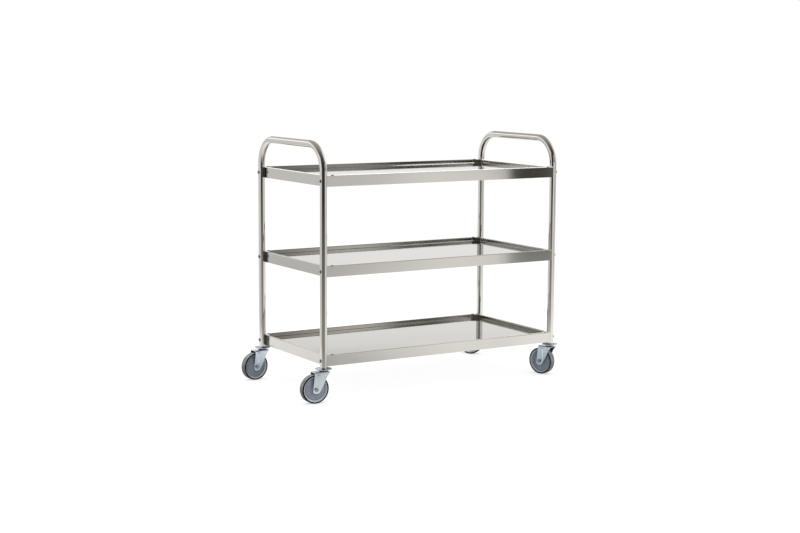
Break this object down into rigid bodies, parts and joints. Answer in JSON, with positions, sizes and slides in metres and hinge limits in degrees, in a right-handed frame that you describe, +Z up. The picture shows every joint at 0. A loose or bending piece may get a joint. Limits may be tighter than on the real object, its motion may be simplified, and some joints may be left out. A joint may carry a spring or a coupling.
{
  "type": "service cart",
  "caption": "Stainless steel service cart: raised-rim trays bolted between bent-tube end frames whose tops are push handles, on swivel casters.",
  "frame": {"origin": "on the floor, under the middle of the four legs", "axes": "+X along the length towards the right-hand end frame, +Y from the front long side to the back, +Z up"},
  "size_m": [1.0906, 0.5815, 0.906],
  "materials": {
    "stainless_tube": "polished stainless steel tube",
    "stainless_sheet": "bright stainless steel sheet with a fine grain",
    "stainless_fastener": "plain stainless steel",
    "zinc_steel": "bright zinc-plated pressed steel",
    "zinc_fastener": "zinc-plated steel",
    "bearing_steel": "hardened bearing balls",
    "wheel_plastic": "moulded grey polypropylene",
    "tyre_rubber": "dark grey thermoplastic rubber"
  },
  "bodies": {
    "frame": {"left_frame_tube": "stainless_tube", "right_frame_tube": "stainless_tube", "bottom_tray": "stainless_sheet", "middle_tray": "stainless_sheet", "top_tray": "stainless_sheet", "tray_bolts": "stainless_fastener", "saddle_washers": "stainless_fastener", "flat_washers": "stainless_fastener", "tray_nuts": "stainless_fastener", "front_left_leg_insert": "zinc_steel", "front_left_caster_stem": "zinc_steel", "front_left_swivel_head": "zinc_steel", "front_left_swivel_balls": "bearing_steel", "rear_left_leg_insert": "zinc_steel", "rear_left_caster_stem": "zinc_steel", "rear_left_swivel_head": "zinc_steel", "rear_left_swivel_balls": "bearing_steel", "front_right_leg_insert": "zinc_steel", "front_right_caster_stem": "zinc_steel", "front_right_swivel_head": "zinc_steel", "front_right_swivel_balls": "bearing_steel", "rear_right_leg_insert": "zinc_steel", "rear_right_caster_stem": "zinc_steel", "rear_right_swivel_head": "zinc_steel", "rear_right_swivel_balls": "bearing_steel"},
    "front_left_fork": {"front_left_caster_fork": "zinc_steel", "front_left_axle_bolt": "zinc_fastener", "front_left_axle_nut": "zinc_fastener", "front_left_axle_bush": "zinc_fastener"},
    "front_left_wheel": {"front_left_wheel_centre": "wheel_plastic", "front_left_tyre": "tyre_rubber"},
    "rear_left_fork": {"rear_left_caster_fork": "zinc_steel", "rear_left_axle_bolt": "zinc_fastener", "rear_left_axle_nut": "zinc_fastener", "rear_left_axle_bush": "zinc_fastener"},
    "rear_left_wheel": {"rear_left_wheel_centre": "wheel_plastic", "rear_left_tyre": "tyre_rubber"},
    "front_right_fork": {"front_right_caster_fork": "zinc_steel", "front_right_axle_bolt": "zinc_fastener", "front_right_axle_nut": "zinc_fastener", "front_right_axle_bush": "zinc_fastener"},
    "front_right_wheel": {"front_right_wheel_centre": "wheel_plastic", "front_right_tyre": "tyre_rubber"},
    "rear_right_fork": {"rear_right_caster_fork": "zinc_steel", "rear_right_axle_bolt": "zinc_fastener", "rear_right_axle_nut": "zinc_fastener", "rear_right_axle_bush": "zinc_fastener"},
    "rear_right_wheel": {"rear_right_wheel_centre": "wheel_plastic", "rear_right_tyre": "tyre_rubber"}
  },
  "joints": [
    {"name": "front_left_swivel", "type": "hinge", "parent": "frame", "child": "front_left_fork", "pos_m": [-0.4875, -0.2375, 0.11], "axis": [0, 0, 1], "continuous": true},
    {"name": "front_left_wheel_spin", "type": "hinge", "parent": "front_left_fork", "child": "front_left_wheel", "pos_m": [-0.52295, -0.23564, 0.05], "axis": [0.0523, 0.9986, 0], "continuous": true},
    {"name": "rear_left_swivel", "type": "hinge", "parent": "frame", "child": "rear_left_fork", "pos_m": [-0.4875, 0.2375, 0.11], "axis": [0, 0, 1], "continuous": true},
    {"name": "rear_left_wheel_spin", "type": "hinge", "parent": "rear_left_fork", "child": "rear_left_wheel", "pos_m": [-0.52277, 0.23348, 0.05], "axis": [-0.1132, 0.9936, 0], "continuous": true},
    {"name": "front_right_swivel", "type": "hinge", "parent": "frame", "child": "front_right_fork", "pos_m": [0.4875, -0.2375, 0.11], "axis": [0, 0, 1], "continuous": true},
    {"name": "front_right_wheel_spin", "type": "hinge", "parent": "front_right_fork", "child": "front_right_wheel", "pos_m": [0.47624, -0.20383, 0.05], "axis": [0.9483, 0.3173, 0], "continuous": true},
    {"name": "rear_right_swivel", "type": "hinge", "parent": "frame", "child": "rear_right_fork", "pos_m": [0.4875, 0.2375, 0.11], "axis": [0, 0, 1], "continuous": true},
    {"name": "rear_right_wheel_spin", "type": "hinge", "parent": "rear_right_fork", "child": "rear_right_wheel", "pos_m": [0.46765, 0.26693, 0.05], "axis": [0.829, 0.5592, 0], "continuous": true}
  ]
}
